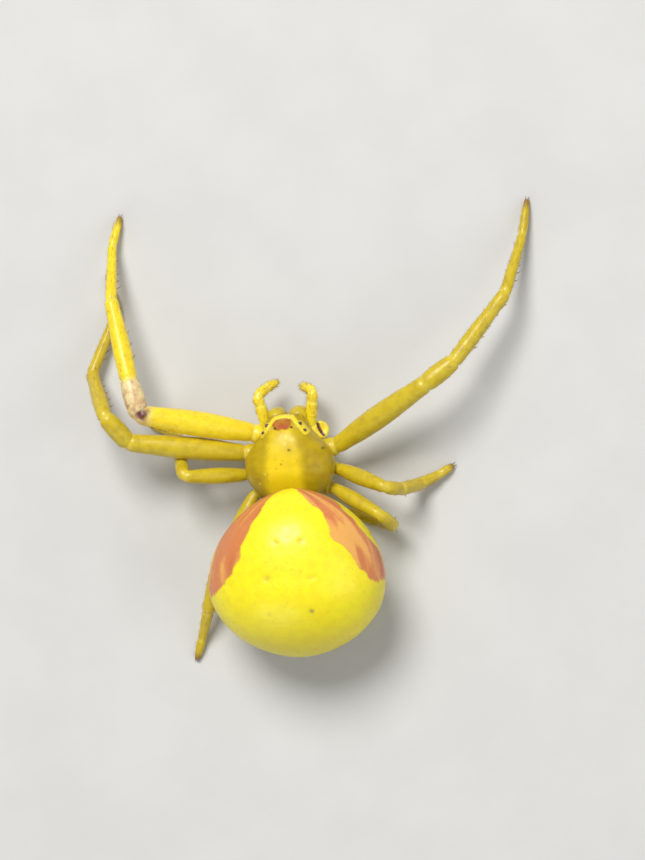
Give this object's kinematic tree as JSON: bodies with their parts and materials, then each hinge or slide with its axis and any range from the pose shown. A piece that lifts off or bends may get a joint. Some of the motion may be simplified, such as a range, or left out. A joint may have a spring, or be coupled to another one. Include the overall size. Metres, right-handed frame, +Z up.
{
  "type": "crab spider model",
  "caption": "Life-size museum model of a gravid yellow crab spider with orange-red flank bands, long front legs spread wide and one front leg shed",
  "frame": {"origin": "On the ground plane, at the middle of the bounding box of the whole spider.", "axes": "+Z up, the shortest extent; the legs spread along X, the longest extent, and +X is the spider's left; the body lies along Y, with the head toward -Y and the abdomen toward +Y."},
  "size_m": [0.0178, 0.0178, 0.0056],
  "materials": {
    "abdomen_skin": "soft satin skin, lemon yellow, with salmon-red bands along the flanks",
    "carapace_shell": "waxy satin cuticle, olive to golden yellow, slightly see-through",
    "limb_skin": "waxy satin cuticle, golden yellow, paler at the joints",
    "fang_cuticle": "hard and polished, dark red-brown",
    "eyes": "wet gloss, near black"
  },
  "bodies": {
    "root": {"abdomen": "abdomen_skin", "carapace": "carapace_shell", "chelicera_left": "limb_skin", "chelicera_right": "limb_skin", "eye_front_middle_left": "eyes", "eye_front_middle_right": "eyes", "eye_front_side_left": "eyes", "eye_front_side_right": "eyes", "eye_rear_middle_left": "eyes", "eye_rear_middle_right": "eyes", "eye_rear_side_left": "eyes", "eye_rear_side_right": "eyes", "fang_left": "fang_cuticle", "fang_right": "fang_cuticle", "leg_left_1_coxa": "limb_skin", "leg_left_1_femur": "limb_skin", "leg_left_1_foot": "limb_skin", "leg_left_1_patella": "limb_skin", "leg_left_1_tibia": "limb_skin", "leg_left_2_coxa": "limb_skin", "leg_left_2_femur": "limb_skin", "leg_left_2_foot": "limb_skin", "leg_left_2_patella": "limb_skin", "leg_left_2_tibia": "limb_skin", "leg_left_3_coxa": "limb_skin", "leg_left_3_femur": "limb_skin", "leg_left_3_foot": "limb_skin", "leg_left_3_patella": "limb_skin", "leg_left_3_tibia": "limb_skin", "leg_left_4_coxa": "limb_skin", "leg_left_4_femur": "limb_skin", "leg_left_4_foot": "limb_skin", "leg_left_4_patella": "limb_skin", "leg_left_4_tibia": "limb_skin", "leg_right_1_coxa_stump": "limb_skin", "leg_right_2_coxa": "limb_skin", "leg_right_2_femur": "limb_skin", "leg_right_2_foot": "limb_skin", "leg_right_2_patella": "limb_skin", "leg_right_2_tibia": "limb_skin", "leg_right_3_coxa": "limb_skin", "leg_right_3_femur": "limb_skin", "leg_right_3_foot": "limb_skin", "leg_right_3_patella": "limb_skin", "leg_right_3_tibia": "limb_skin", "leg_right_4_coxa": "limb_skin", "leg_right_4_femur": "limb_skin", "leg_right_4_foot": "limb_skin", "leg_right_4_patella": "limb_skin", "leg_right_4_tibia": "limb_skin", "maxilla_left": "limb_skin", "maxilla_right": "limb_skin", "palp_left_base": "limb_skin", "palp_left_tip": "limb_skin", "palp_right_base": "limb_skin", "palp_right_tip": "limb_skin", "pedicel": "limb_skin", "spinnerets": "limb_skin", "sternum": "carapace_shell"}
  },
  "joints": []
}
